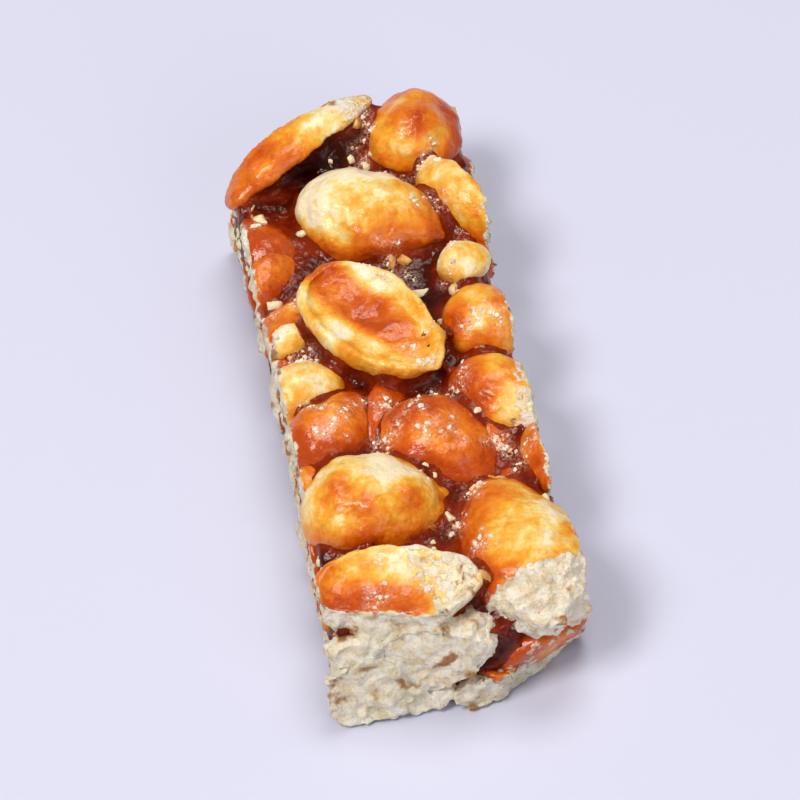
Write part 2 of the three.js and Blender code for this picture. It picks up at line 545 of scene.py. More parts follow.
@dataclass(frozen=True)
class Outline:
    """The bar's outline in millimetres, as the frame's solid has it.

    Each of the waves is a turn for each millimetre along two surface coordinates, in radians, and a start.
    """

    length: float = 70.0
    width: float = 26.0
    sugar_top: float = 9.8
    recess: float = 0.9
    waist: float = 1.1
    top_wave: float = 0.55
    side_wave: float = 0.3
    side_wave_stretch: float = 2.0
    waves: tuple[tuple[float, float, float], ...] = ((0.55, 0.31, 0.4), (-0.38, 0.47, 2.1))
    cut_jitter: float = 1.3
    near_top_left: Setback = Setback(2.4, 0.0, -6.0)
    near_base_right: Setback = Setback(6.0, 3.0, 11.0)
    far_left: Setback = Setback(6.0, 0.0, -12.0)

    def half_width(self, y: float) -> float:
        """Gives half of the bar's width at y."""
        return self.width / 2 - self.waist * math.cos(math.pi * y / self.length)

    def near_end(self, x: float, z: float) -> float:
        """Gives the near end's y at x and height z."""
        rise = min(1.0, max(0.0, z / self.sugar_top))
        return -self.length / 2 + rise * self.near_top_left.at(x) + (1 - rise) * self.near_base_right.at(x)

    def far_end(self, x: float, z: float = 0.0) -> float:
        """Gives the far end's y at x, which is the same at each height z."""
        return self.length / 2 - self.far_left.at(x)

    def wave(self, s: float, t: float) -> float:
        """Gives a smooth uneven wave between -1 and 1 over two surface coordinates."""
        return sum(math.sin(a * s + b * t + start) for a, b, start in self.waves) / len(self.waves)

    def end_plane(self, end: End, peanut: Peanut, shift: float, out: float) -> Plane:
        """Gives an end's cut where a peanut lies.

        Args:
            end: The end's y at x and z.
            peanut: The peanut.
            shift: How far the cut is moved along y.
            out: The way out of the bar along y, 1 or -1.

        Returns:
            A point on the cut and its normal, which points out of the bar.
        """
        x, z = peanut.x, peanut.z
        along_x = (end(x + 1, z) - end(x - 1, z)) / 2
        along_z = (end(x, z + 1) - end(x, z - 1)) / 2
        normal = Vector((-out * along_x, out, -out * along_z)).normalized()
        return Vector((x, end(x, z) + shift, z)), normal

    def cuts(self, peanut: Peanut, draw: Draw) -> list[Plane]:
        """Gives the planes that the knife and the board leave round a peanut.

        Args:
            peanut: The peanut.
            draw: Draws how far each side broke inside its cut.

        Returns:
            Each plane as a point and its normal, which points out of the bar.
        """
        left, right, near, far = (max(0.0, draw() * self.cut_jitter - self.cut_jitter / 2) for _ in range(4))
        half = self.half_width(peanut.y)
        return [
            (Vector((-half + left, 0.0, 0.0)), Vector((-1.0, 0.0, 0.0))),
            (Vector((half - right, 0.0, 0.0)), Vector((1.0, 0.0, 0.0))),
            self.end_plane(self.near_end, peanut, near, -1.0),
            self.end_plane(self.far_end, peanut, -far, 1.0),
            (Vector((0.0, -self.length / 2, 0.0)), Vector((0.0, -1.0, 0.0))),
            (Vector((0.0, self.length / 2, 0.0)), Vector((0.0, 1.0, 0.0))),
            (Vector((0.0, 0.0, 0.0)), DOWN),
        ]


UPPER_PEANUTS: tuple[Peanut, ...] = (
    Peanut(Lies.DOME, -5.4, 30.6, 11.8, 18, 7.4, 27, 13, roll=-45, glaze=0.21, bare_and_highlight_way=27, bare_and_highlight_lean=0.28,
           soak_and_shade=0.6, torn_way=27, torn_from=3.8, torn_share=0.58),
    Peanut(Lies.DOME, 7.2, 30.8, 12.0, 11.4, 9.4, 80, -4, glaze=0.5, bare_and_highlight_way=200, bare_and_highlight_lean=0.24),
    Peanut(Lies.EDGE, 9.2, 20.2, 10.2, 13, 7.0, -62, -3, glaze=0.1, bare_and_highlight_way=60, bare_and_highlight_lean=0.2, soak_and_shade=0.5),
    Peanut(Lies.WHOLE, 0.8, 19.6, 10.4, 15, 10.4, -30, 0, glaze=0.17, bare_and_highlight_way=108, bare_and_highlight_lean=0.48),
    Peanut(Lies.WHOLE, 8.7, 11.4, 11.0, 5.2, 4.6, 10, 0, glaze=-0.06, soak_and_shade=0.5),
    Peanut(Lies.DOME, -9.6, 18.2, 9.4, 11, 8, -52, 0, glaze=0.8),
    Peanut(Lies.FLAT, -1.6, 3.9, 11.2, 17, 10.6, -54, -4, glaze=0.12, bare_and_highlight_way=126, bare_and_highlight_lean=0.08, soak_and_shade=0.2,
           pool=(-0.36, -0.08, 1.0, 0.44), pool_glaze=0.6),
    Peanut(Lies.DOME, 9.4, 4.0, 10.8, 9.6, 8.2, -39, 0, glaze=0.24, bare_and_highlight_way=0, bare_and_highlight_lean=0.22),
    Peanut(Lies.WHOLE, -9.4, 5.0, 10.8, 4.8, 3.6, 20, 0, glaze=0.0, soak_and_shade=0.4),
    Peanut(Lies.DOME, -9.4, -1.2, 10.6, 8.6, 7.2, 22, 0, glaze=0.08, bare_and_highlight_way=90, bare_and_highlight_lean=0.2, soak_and_shade=0.6),
    Peanut(Lies.DOME, 8.9, -5.6, 10.9, 12, 8.4, -48, 4, glaze=0.3, bare_and_highlight_way=-5, bare_and_highlight_lean=0.56, torn_way=-12,
           torn_from=0.8, torn_share=0.58),
    Peanut(Lies.DOME, -7.7, -6.8, 10.5, 12, 8.4, 49, -3, glaze=0.62, bare_and_highlight_way=70, bare_and_highlight_lean=0.12),
    Peanut(Lies.DOME, 2.3, -10.2, 10.4, 13.6, 10.4, -42, 0, glaze=0.66, bare_and_highlight_way=170, bare_and_highlight_lean=0.12, soak_and_shade=0.8),
    Peanut(Lies.EDGE, 11.3, -14.4, 9.6, 10, 7, -93, 0, glaze=0.36),
    Peanut(Lies.DOME, -5.2, -16.8, 11.5, 14.4, 11.4, 4, 0, glaze=0.17, bare_and_highlight_way=80, bare_and_highlight_lean=0.26),
    Peanut(Lies.WHOLE, 7.4, -25.4, 9.2, 19.4, 12.0, 101, -3, glaze=0.3, bare_and_highlight_way=-22, bare_and_highlight_lean=0.38,
           torn_way=-78, torn_from=4.2),
    Peanut(Lies.FLAT, -5.4, -29.4, 10.2, 15.8, 11, -6, 4, glaze=0.15, bare_and_highlight_way=10, bare_and_highlight_lean=0.26, soak_and_shade=0.2,
           pool=(-0.2, 0.2, 0.66, 0.5), pool_glaze=0.5, torn_way=10, torn_from=1.7, torn_share=0.58),
)

END_PEANUTS: tuple[Peanut, ...] = (
    Peanut(Lies.WHOLE, -2.4, -32.4, 6.8, 12.5, 9.8, 8, 18, glaze=0.1, soak_and_shade=0.35, torn_from=-4.0),
    Peanut(Lies.WHOLE, -8.4, -32.6, 3.4, 11, 9, 60, 0, glaze=0.1, soak_and_shade=0.35, torn_from=-4.0),
    Peanut(Lies.FLAT, 7.4, -30.4, 1.9, 14, 9, 14, 0, glaze=0.4),
)

END_CHIPS: tuple[Peanut, ...] = (
    Peanut(Lies.WHOLE, -9.0, -31.2, 7.4, 8.5, 4.6, 8, -6, glaze=0.1, soak_and_shade=0.3, torn_from=-4.0),
    Peanut(Lies.WHOLE, -3.4, -33.0, 1.9, 8.0, 4.6, 12, 0, glaze=0.1, soak_and_shade=0.3, torn_from=-4.0),
    Peanut(Lies.WHOLE, 7.8, -31.0, 4.7, 10.5, 5.4, 28, 8, glaze=0.5, crumbly=0.4),
    Peanut(Lies.WHOLE, 4.6, -32.8, 1.8, 12.5, 5.6, 22, 0, glaze=0.2, torn_from=-4.0),
    Peanut(Lies.WHOLE, 8.2, 33.4, 6.8, 11.0, 7.6, 14, 10, glaze=0.3),
    Peanut(Lies.FLAT, 2.4, 32.8, 3.4, 12.0, 8.4, -8, 0, glaze=0.3),
    Peanut(Lies.WHOLE, 9.6, 33.2, 2.3, 7.4, 4.8, 25, 0, glaze=0.3),
    Peanut(Lies.DOME, -2.6, 32.6, 6.9, 10.6, 7.6, 150, -8, glaze=0.3),
    Peanut(Lies.WHOLE, -9.4, 29.6, 3.1, 10.0, 6.6, 20, 4, glaze=0.3),
    Peanut(Lies.EDGE, -4.6, 32.0, 2.6, 8.2, 5.6, 60, 0, glaze=0.3),
)


@dataclass(frozen=True)
class LowerLayers:
    """The lower peanuts: two layers of rows, each peanut a little off its place. Millimetres and degrees."""

    heights: tuple[float, ...] = (2.5, 7.2)
    row_pitch: float = 7.4
    row_start: float = -25.5
    row_count: int = 8
    columns: tuple[float, ...] = (-8.8, 0.0, 8.8)
    place_jitter: float = 1.3
    height_jitter: float = 0.5
    turn_across: float = 90.0
    turn_jitter: float = 36.0
    rise_jitter: float = 16.0
    least_length: float = 10.5
    length_spread: float = 4.5
    least_width: float = 6.8
    width_spread: float = 2.4
    reach: float = 6.0
    least_glaze: float = 0.5
    glaze_spread: float = 0.35
    # how much the glaze darkens near the sugar: partly the sugar's film, partly painted shade
    soak_and_shade: float = 0.6

    def peanuts(self, outline: Outline, draw: Draw) -> list[Peanut]:
        """Lays out the lower peanuts that show.

        Args:
            outline: The bar's outline.
            draw: Draws each peanut's place, size and turns.

        Returns:
            The peanuts.
        """
        ways = (Lies.DOME, Lies.FLAT, Lies.EDGE, Lies.WHOLE)
        tone = Draw(TONE_SEED)
        found = []
        for layer, height in enumerate(self.heights):
            for row in range(self.row_count):
                for index, column in enumerate(self.columns):
                    stagger = self.row_pitch / 2 * ((layer + index) % 2)
                    lies = ways[int(draw() * len(ways))]
                    x = column + draw.off(self.place_jitter)
                    y = self.row_start + row * self.row_pitch + stagger + draw.off(self.place_jitter)
                    z = height + draw.off(self.height_jitter)
                    length = self.least_length + draw() * self.length_spread
                    width = self.least_width + draw() * self.width_spread
                    across = math.copysign(self.turn_across, column) * round(draw())
                    turn = across + draw.off(self.turn_jitter)
                    rise = draw.off(self.rise_jitter)
                    glaze = self.least_glaze + self.glaze_spread * tone()
                    inside = min(outline.half_width(y) - abs(x), outline.far_end(x) - y)
                    peanut = Peanut(lies, x, y, z, length, width, turn, rise, glaze=glaze, soak_and_shade=self.soak_and_shade)
                    if layer > 0 or inside < self.reach:
                        found.append(peanut)
        return found


# ---------------------------------------------------------------- kernels


@dataclass
class KernelModels:
    """The kernels that peanuts are copied from, one unit in half length: a split half and a whole one."""

    segments: int = 32
    rings: int = 24
    taper: float = 0.16
    rim: float = 0.14
    rim_steps: int = 3
    flat_facing: float = 0.9
    hollow_steps: tuple[tuple[float, float], ...] = ((0.1, 0.02), (0.16, 0.06), (0.2, 0.05), (0.2, 0.02))
    tip_reach: float = 0.9
    tip_facing: float = 0.5
    tip_length: float = 0.06
    tip_narrowing: float = 0.6
    seam_depth: float = 0.06
    seam_steps: int = 2
    half: Object = field(init=False)
    whole: Object = field(init=False)

    def build(self) -> None:
        """Models both kernels."""
        self.half = self.model_half()
        self.whole = self.model_whole()

    def ball(self, name: str) -> Object:
        """Adds the round start of a kernel with its poles on its length.

        Args:
            name: The kernel's name.

        Returns:
            The ball.
        """
        bpy.ops.mesh.primitive_uv_sphere_add(segments=self.segments, ring_count=self.rings, radius=1.0,
                                             rotation=(0.0, math.pi / 2, 0.0))
        return added(name)

    def model_half(self) -> Object:
        """Models a split half: a dome over a dished flat side with a soft rim, and a germ tip at one end.

        Returns:
            The half.
        """
        half = self.ball("half_kernel")
        with editing(half):
            bpy.ops.mesh.select_all(action="SELECT")
            bpy.ops.mesh.bisect(plane_co=(0, 0, 0), plane_no=(0, 0, 1), use_fill=True, clear_inner=True)
            pick(half, "EDGE", lambda middle, normal: abs(middle.z) < ON_PLANE)
            bpy.ops.mesh.bevel(offset=self.rim, segments=self.rim_steps)
            low = self.rim / 4
            pick(half, "FACE", lambda middle, normal: normal.z < -self.flat_facing and middle.z < low)
            for inward, deeper in self.hollow_steps:
                bpy.ops.mesh.inset(thickness=inward, depth=0.0)
                bpy.ops.transform.translate(value=(0.0, 0.0, deeper))
            self.draw_out_tip(half)
        self.narrow(half)
        return half

    def model_whole(self) -> Object:
        """Models a whole kernel: an egg with the shallow seam between its halves.

        Returns:
            The whole kernel.
        """
        whole = self.ball("whole_kernel")
        with editing(whole):
            pick(whole, "EDGE", lambda middle, normal: abs(middle.z) < ON_PLANE)
            bpy.ops.mesh.bevel(offset=self.seam_depth, segments=self.seam_steps)
            pick(whole, "VERT", lambda middle, normal: abs(middle.z) < ON_PLANE)
            shrink = 1.0 - self.seam_depth
            bpy.ops.transform.resize(value=(shrink, shrink, 1.0), center_override=(0.0, 0.0, 0.0))
            self.draw_out_tip(whole)
        self.narrow(whole)
        return whole

    def draw_out_tip(self, kernel: Object) -> None:
        """Draws the germ tip out of the end of a kernel that will be narrow.

        Args:
            kernel: The kernel, in edit mode.
        """
        reach, facing = self.tip_reach, self.tip_facing
        if pick(kernel, "FACE", lambda middle, normal: middle.x > reach and normal.x > facing):
            bpy.ops.mesh.extrude_region_move(TRANSFORM_OT_translate={"value": (self.tip_length, 0.0, 0.0)})
            bpy.ops.transform.resize(value=(1.0, self.tip_narrowing, self.tip_narrowing))
        bpy.ops.mesh.select_all(action="SELECT")
        bpy.ops.mesh.delete_loose()

    def narrow(self, kernel: Object) -> None:
        """Narrows a kernel towards its tip."""
        finish_with(kernel, "SIMPLE_DEFORM", deform_method="TAPER", deform_axis="X", factor=-2 * self.taper)

    def remove(self) -> None:
        """Deletes both kernels once every peanut is copied."""
        remove(self.half)
        remove(self.whole)


@dataclass
class PeanutMaker:
    """Makes single peanuts: a lumpy copy of a kernel, cut where the knife went, and marked for its finish.

    The lumps, the crumble and the wrinkles are each a height and a size in millimetres.
    """

    kernels: KernelModels
    outline: Outline
    lumps: tuple[tuple[float, float], ...] = ((1.5, 4.6), (0.6, 2.1))
    crumble: tuple[tuple[float, float], ...] = ((1.5, 2.2), (1.0, 0.8))
    wrinkles: tuple[tuple[float, float], ...] = ((0.2, 1.0), (0.1, 0.45))
    relaxing: int = 2
    crumble_level: float = 0.68
    crumble_range: Range = (0.6, 1.0)
    crumble_steps: int = 4
    cut_touch: float = 0.12
    cut_fade: float = 0.9
    torn_width: float = 1.2
    pool_edge: Range = (0.7, 1.3)
    flat_side: float = 0.45

    def make(self, peanut: Peanut, draw: Draw, voxel: float, name: str) -> Object:
        """Makes one peanut in its place.

        Args:
            peanut: Where it lies and its size.
            draw: Draws how far its cuts broke inside the bar's outline.
            voxel: The size of its surface's cells in millimetres.
            name: The object's name.

        Returns:
            The peanut, in millimetres.
        """
        model = self.kernels.whole if peanut.lies is Lies.WHOLE else self.kernels.half
        obj = duplicate(model, name, peanut.place())
        remesh(obj, voxel)
        for height, size in self.lumps:
            roughen(obj, height, size)
        planes = [plane for plane in self.outline.cuts(peanut, draw) if self.cut(obj, plane)]
        remesh(obj, voxel)
        keep_largest_part(obj)
        relax(obj, self.relaxing)
        self.mark(obj, peanut, planes)
        for height, size in self.crumble:
            roughen(obj, height, size, level=self.crumble_level, group="cut_zone")
        for height, size in self.wrinkles:
            roughen(obj, height, size)
        return obj

    def cut(self, obj: Object, plane: Plane) -> bool:
        """Cuts a peanut off at a plane where it reaches past it.

        Args:
            obj: The peanut.
            plane: A point on the cut and its normal, which points out of the bar.

        Returns:
            Whether it was cut.
        """
        heights = heights_over(plane, points(obj.data))
        if heights.max() < self.cut_touch or heights.min() > -self.cut_touch:
            return False
        with editing(obj):
            bpy.ops.mesh.select_all(action="SELECT")
            bpy.ops.mesh.bisect(plane_co=plane[0], plane_no=plane[1], use_fill=True, clear_outer=True)
            bpy.ops.mesh.select_mode(type="EDGE")
            bpy.ops.mesh.select_all(action="DESELECT")
            bpy.ops.mesh.select_non_manifold()
            if any(edge.select for edge in bmesh.from_edit_mesh(obj.data).edges):
                bpy.ops.mesh.fill()
        return True

    def mark(self, obj: Object, peanut: Peanut, planes: list[Plane]) -> None:
        """Stores what a peanut's finish needs: its glaze, paler on one side partly as a painted highlight,
        its cut faces and the pool on its flat side.

        Args:
            obj: The peanut.
            peanut: Its sizes and place.
            planes: The planes that cut it.
        """
        rows = points(obj.data)
        torn = peanut.along(rows, peanut.torn_way)
        cut = peanut.torn_share * ramp01(torn, peanut.torn_from, peanut.torn_from + self.torn_width)
        for plane in planes:
            near = np.abs(heights_over(plane, rows))
            cut = np.maximum(cut, 1.0 - ramp01(near, self.cut_touch, self.cut_fade))
        cut *= peanut.crumbly
        hollow = np.zeros(len(rows))
        if peanut.lies is not Lies.WHOLE:
            x, y, z = moved_by(rows, peanut.place().inverted()).T
            middle_x, middle_y, half_x, half_y = peanut.pool
            from_middle = np.hypot((x - middle_x) / half_x, (y - middle_y) / half_y)
            hollow = peanut.pool_glaze * (1.0 - ramp01(from_middle, *self.pool_edge)) * (z < self.flat_side)
        # painted highlight: one side of the peanut is made paler, partly as bare nut, partly as light
        # falling on it
        bare = np.clip(peanut.along(rows, peanut.bare_and_highlight_way) / (peanut.width / 2), -1.0, 1.0)
        mark_zone(obj, "cut_zone", ramp01(cut, *self.crumble_range), self.crumble_steps)
        set_field(obj.data, "cut", cut)
        set_field(obj.data, "hollow", hollow)
        set_field(obj.data, "glaze", peanut.glaze - peanut.bare_and_highlight_lean * bare)
        # the strength of the darkening near the sugar, partly painted shade
        set_field(obj.data, "soak_and_shade", np.full(len(rows), peanut.soak_and_shade))


@dataclass
class PeanutHeap:
    """All the peanuts of the bar, in three pieces: the upper ones, those of the ends and the lower ones."""

    maker: PeanutMaker
    layers: LowerLayers
    # painted shade in part: the glaze darkens near the deep sugar, low between the peanuts where shade
    # falls, and pales a little away from it
    soak_and_shade_near: float = 0.36
    soak_and_shade_far: float = -0.08
    soak_and_shade_reach: Range = (0.2, 2.6)
    soaking_depth: float = 0.3
    upper_voxel: float = 0.28
    lower_voxel: float = 0.4
    upper: Object = field(init=False)
    ends: Object = field(init=False)
    lower: Object = field(init=False)

    def build(self) -> None:
        """Makes the peanuts, in the order of the frame's own draws."""
        draw = Draw(PEANUT_SEED)
        self.upper = self.heap(UPPER_PEANUTS, draw, self.upper_voxel, "upper_peanuts")
        ends = self.heap(END_PEANUTS, draw, self.upper_voxel, "end_peanuts")
        chips = self.heap(END_CHIPS, Draw(CHIP_SEED), self.upper_voxel, "end_chips")
        self.ends = join([ends, chips], "end_peanuts")
        lower = self.layers.peanuts(self.maker.outline, draw)
        self.lower = self.heap(lower, draw, self.lower_voxel, "lower_peanuts")

    def heap(self, peanuts: Sequence[Peanut], draw: Draw, voxel: float, name: str) -> Object:
        """Makes some peanuts as one object.

        Args:
            peanuts: The peanuts.
            draw: Draws how each one's cuts broke.
            voxel: The size of their surfaces' cells in millimetres.
            name: The object's name.

        Returns:
            The joined peanuts.
        """
        made = [self.maker.make(peanut, draw, voxel, f"{name}_{i}") for i, peanut in enumerate(peanuts)]
        whole = join(made, name)
        shade_smooth(whole)
        return whole

    def parts(self) -> list[Object]:
        """Gives the three objects."""
        return [self.upper, self.ends, self.lower]

    def soak_and_shade(self, sugar: Object) -> None:
        """Glazes each peanut more where the set sugar between the peanuts is near, and a little less far
        from it: partly the sugar's own film, partly painted shade low down where the peanut meets the sugar.

        Args:
            sugar: The set sugar, whose thick field says how deep it is.
        """
        deep = points(sugar.data)[get_field(sugar.data, "thick") > self.soaking_depth]
        for part in self.parts():
            away = distances(points(part.data), deep)
            near = self.soak_and_shade_near - (self.soak_and_shade_near - self.soak_and_shade_far) * ramp01(away, *self.soak_and_shade_reach)
            glaze = get_field(part.data, "glaze") + near * get_field(part.data, "soak_and_shade")
            set_field(part.data, "glaze", glaze)

    def dress(self, finish: "PeanutFinish") -> None:
        """Gives the peanuts their finish and puts them on the bar.

        Args:
            finish: The peanuts' finish.
        """
        material = finish.material()
        for part in self.parts():
            settle(part, material)


# ---------------------------------------------------------------- boiled sugar


@dataclass
class BoiledSugar:
    """The set sugar between the peanuts, with a soft fillet where it climbs each of them.

    Each of the webs is a drop's middle and its radius, in millimetres.
    """

    outline: Outline
    fillet: float = 0.6
    sink: float = 0.2
    cut_sink: float = 0.8
    voxel: float = 0.38
    core_cuts: int = 31
    relaxing: int = 3
    ripple_height: float = 0.65
    ripple_size: float = 1.3
    open_range: Range = (0.25, 0.9)
    cut_least: float = 0.6
    cut_near: Range = (0.6, 1.0)
    cut_skin: Range = (0.4, 0.8)
    zone_steps: int = 5
    webs: tuple[tuple[float, float, float, float], ...] = ((1.2, 31.6, 10.4, 2.7), (-1.6, 29.6, 9.6, 2.4))
    body: Object = field(init=False)

    def core(self) -> Object:
        """Models the core: a block drawn to the bar's outline, set back from its cuts, with wavy faces.

        Returns:
            The core.
        """
        outline = self.outline
        bpy.ops.mesh.primitive_cube_add(size=2.0)
        core = added("core")
        with editing(core):
            bpy.ops.mesh.select_all(action="SELECT")
            bpy.ops.mesh.subdivide(number_cuts=self.core_cuts)
        rows = points(core.data)
        for row in rows:
            across, along, up = row[0], row[1], (row[2] + 1) / 2
            middle_y = along * outline.length / 2
            top = outline.sugar_top + outline.top_wave * outline.wave(across * outline.width / 2, middle_y)
            z = up * top
            height = outline.side_wave_stretch * z
            side = outline.recess - outline.side_wave * outline.wave(middle_y, height)
            x = across * (outline.half_width(middle_y) - side)
            near = outline.near_end(x, z) + outline.recess + outline.side_wave * outline.wave(x, height)
            far = outline.far_end(x) - outline.recess + outline.side_wave * outline.wave(height, x)
            row[:] = (x, near + (along + 1) / 2 * (far - near), z)
        set_points(core.data, rows)
        return core

    def drops(self) -> list[Object]:
        """Adds the drops of sugar that bridge the gap under the leaning peanut.

        Returns:
            The drops.
        """
        made = []
        for x, y, z, radius in self.webs:
            bpy.ops.mesh.primitive_ico_sphere_add(subdivisions=3, radius=radius, location=(x, y, z))
            made.append(added("drop"))
        return made

    def build(self, peanuts: Sequence[Object]) -> None:
        """Pours the sugar round the peanuts.

        The core and the peanuts are joined, swollen and shrunk again, which fills the narrow gaps between
        them with a fillet, and the result is sunk a little below the peanuts' own surfaces, and more below
        their cut faces.

        Args:
            peanuts: The peanuts' objects, which stay as they are.
        """
        copies = [duplicate(part, f"{part.name}_copy") for part in peanuts]
        sugar = join([self.core(), *self.drops(), *copies], "boiled_sugar")
        sugar.vertex_groups.clear()
        remesh(sugar, self.voxel)
        swell(sugar, self.fillet)
        remesh(sugar, self.voxel)
        swell(sugar, -self.fillet - self.sink)
        remesh(sugar, self.voxel)
        relax(sugar, self.relaxing)
        self.measure(sugar, peanuts)
        swell(sugar, -self.cut_sink, group="cut_zone")
        roughen(sugar, self.ripple_height, self.ripple_size, group="open_zone")
        self.body = sugar

    def measure(self, sugar: Object, peanuts: Sequence[Object]) -> None:
        """Stores how far the sugar is from the nearest peanut, and marks what is open or lies under a cut.

        Args:
            sugar: The sugar.
            peanuts: The peanuts' objects.
        """
        trees = [tree_of(part) for part in peanuts]
        rows = points(sugar.data)
        thick = np.array([min(tree.find_nearest(row)[3] for tree in trees) for row in rows])
        set_field(sugar.data, "thick", thick)
        mark_zone(sugar, "open_zone", ramp01(thick, *self.open_range), self.zone_steps)
        meshes = [part.data for part in peanuts]
        cut = np.concatenate([points(mesh)[get_field(mesh, "cut") > self.cut_least] for mesh in meshes])
        share = (1.0 - ramp01(distances(rows, cut), *self.cut_near)) * (1.0 - ramp01(thick, *self.cut_skin))
        mark_zone(sugar, "cut_zone", share, self.zone_steps)

    def dress(self, finish: "SugarFinish") -> None:
        """Gives the sugar its finish and puts it on the bar."""
        shade_smooth(self.body)
        settle(self.body, finish.material())


# ---------------------------------------------------------------- loose bits


@dataclass(frozen=True)
class Patch:
    """A place on the top where bits gather: its middle and spread in millimetres, and how many."""

    x: float
    y: float
    spread: float
    count: int


GRAIN_PATCHES: tuple[Patch, ...] = (
    Patch(2.5, 28.5, 3.0, 25),
    Patch(8.5, 25.5, 2.0, 22),
    Patch(0.0, 13.5, 3.5, 18),
    Patch(-10.0, 20.0, 2.5, 9),
    Patch(-8.5, 10.0, 3.0, 18),
    Patch(8.5, 0.5, 3.0, 40),
    Patch(-9.5, 2.6, 2.2, 54),
    Patch(3.5, -4.0, 3.0, 55),
    Patch(-1.5, -8.0, 2.5, 50),
    Patch(-7.5, -7.0, 3.0, 35),
    Patch(9.5, -12.0, 2.5, 45),
    Patch(3.0, -19.0, 3.0, 40),
    Patch(1.5, -26.0, 2.5, 30),
    Patch(-6.0, -29.0, 4.0, 30),
    Patch(9.0, -32.0, 3.0, 25),
    Patch(0.0, 0.0, 16.0, 90),
    Patch(0.0, 22.0, 14.0, 45),
    Patch(0.0, -22.0, 14.0, 45),
)


@dataclass(frozen=True)
class Hit:
    """Where a straight way meets the bar: the point, the surface's normal and whether it is sugar."""

    point: Vector
    normal: Vector
    on_sugar: bool


@dataclass
class Landing:
    """Finds where bits land on the finished bar."""

    peanuts: Sequence[Object]
    sugar: Object
    start: float = 60.0
    trees: list[BVHTree] = field(init=False)

    def build(self) -> None:
        """Makes the search trees of the bar's pieces, the sugar's last."""
        self.trees = [tree_of(part) for part in (*self.peanuts, self.sugar)]

    def hit(self, origin: Vector, way: Vector) -> Optional[Hit]:
        """Finds the first surface on a straight way.

        Args:
            origin: Where the way starts.
            way: Its direction.

        Returns:
            The hit, or None where the way misses the bar.
        """
        least, first = math.inf, None
        for tree in self.trees:
            point, normal, _, distance = tree.ray_cast(origin, way)
            if point is not None and distance < least:
                least, first = distance, Hit(point, normal, tree is self.trees[-1])
        return first


@dataclass
class Bits:
    """Small bits of one kind: a few models, and copies of them laid on the bar as one mesh."""

    name: str
    models: list[Object]
    draw: Draw
    breadths: Range = (0.7, 1.2)
    depths: Range = (0.6, 1.0)
    axis_rise: float = 0.3
    places: list[tuple[int, Matrix, float]] = field(default_factory=list)

    def lay(self, hit: Hit, size: float, sunk: float, tone: float) -> None:
        """Lays one bit on the bar.

        Args:
            hit: Where it lies.
            size: Its size in millimetres.
            sunk: How deep its middle lies under the surface, as a share of its size.
            tone: The number stored with it for its finish.
        """
        turn = Matrix.Rotation(self.draw() * math.tau, 4, self.draw.pace(1, 1) - DOWN * self.axis_rise)
        breadth, depth = self.draw.between(*self.breadths), self.draw.between(*self.depths)
        squash = Matrix.Diagonal((1.0, breadth, depth, 1.0))
        upright = hit.normal.to_track_quat("Z", "Y").to_matrix().to_4x4()
        place = Matrix.Translation(hit.point - hit.normal * size * sunk) @ upright @ turn @ squash
        self.places.append((int(self.draw() * len(self.models)), place @ Matrix.Scale(size / 2, 4), tone))

    def build(self) -> Object:
        """Makes the bits one mesh.

        Returns:
            The object with every bit.
        """
        rows, faces, tones, start = [], [], [], 0
        for index, place, tone in self.places:
            model = self.models[index].data
            moved = moved_by(points(model), place)
            rows.append(moved)
            faces.extend([start + v for v in polygon.vertices] for polygon in model.polygons)
            tones.append(np.full(len(moved), tone))
            start += len(moved)
        mesh = bpy.data.meshes.new(self.name)
        mesh.from_pydata(np.concatenate(rows).tolist(), [], faces)
        set_field(mesh, "tone", np.concatenate(tones))
        made = bpy.data.objects.new(self.name, mesh)
        bpy.context.scene.collection.objects.link(made)
        for model in self.models:
            remove(model)
        return made


@dataclass
class SugarGrains:
    """White sugar crystals that cling to the top."""

    draw: Draw
    kinds: int = 4
    block: float = 1.5
    corners: int = 8
    corner_cut: float = 0.28
    jitter: float = 0.28
    clump: int = 9
    clump_reach: float = 1.5
    least: float = 0.22
    spread: float = 0.5
    sunk: float = 0.12
    lowest: float = 6.0
    frost_range: Range = (0.1, 0.9)
    piece: Object = field(init=False)

    def model(self, index: int) -> Object:
        """Models one crystal: a small block with cut corners, pushed a little out of square.

        Args:
            index: Which kind it is.

        Returns:
            The crystal, one unit in half its size.
        """
        bpy.ops.mesh.primitive_cube_add(size=self.block)
        grain = added(f"grain_{index}")
        with editing(grain):
            bpy.ops.mesh.select_all(action="SELECT")
            bpy.ops.mesh.bevel(offset=self.corner_cut, segments=1)
        rows = points(grain.data)
        shifts = self.jitter * np.array([self.draw.pace(1, 1, 1) for _ in range(self.corners)])
        corner = (rows > 0) @ np.array((1, 2, 4))
        set_points(grain.data, rows + shifts[corner])
        return grain

    def build(self, landing: Landing) -> None:
        """Scatters the grains in their patches, and frosts the pieces round them.

        Args:
            landing: Finds where they land.
        """
        bits = Bits("sugar_grains", [self.model(index) for index in range(self.kinds)], self.draw)
        for patch in GRAIN_PATCHES:
            for index in range(patch.count):
                if index % self.clump == 0:
                    way, reach = self.draw() * math.tau, patch.spread * math.sqrt(self.draw())
                    x, y = patch.x + reach * math.cos(way), patch.y + reach * math.sin(way)
                stray = self.draw.pace(1, 1) * self.clump_reach * self.draw()
                hit = landing.hit(Vector((x, y, landing.start)) + stray, DOWN)
                size = self.least + self.spread * self.draw() ** 3
                if hit is not None and hit.point.z > self.lowest:
                    bits.lay(hit, size, self.sunk, self.draw())
        grains = [place.translation for _, place, _ in bits.places]
        for part in (*landing.peanuts, landing.sugar):
            away = distances(points(part.data), grains)
            set_field(part.data, "frost", 1.0 - ramp01(away, *self.frost_range))
        self.piece = bits.build()

    def dress(self, finish: "GrainFinish") -> None:
        """Gives the grains their finish and puts them on the bar."""
        settle(self.piece, finish.material())


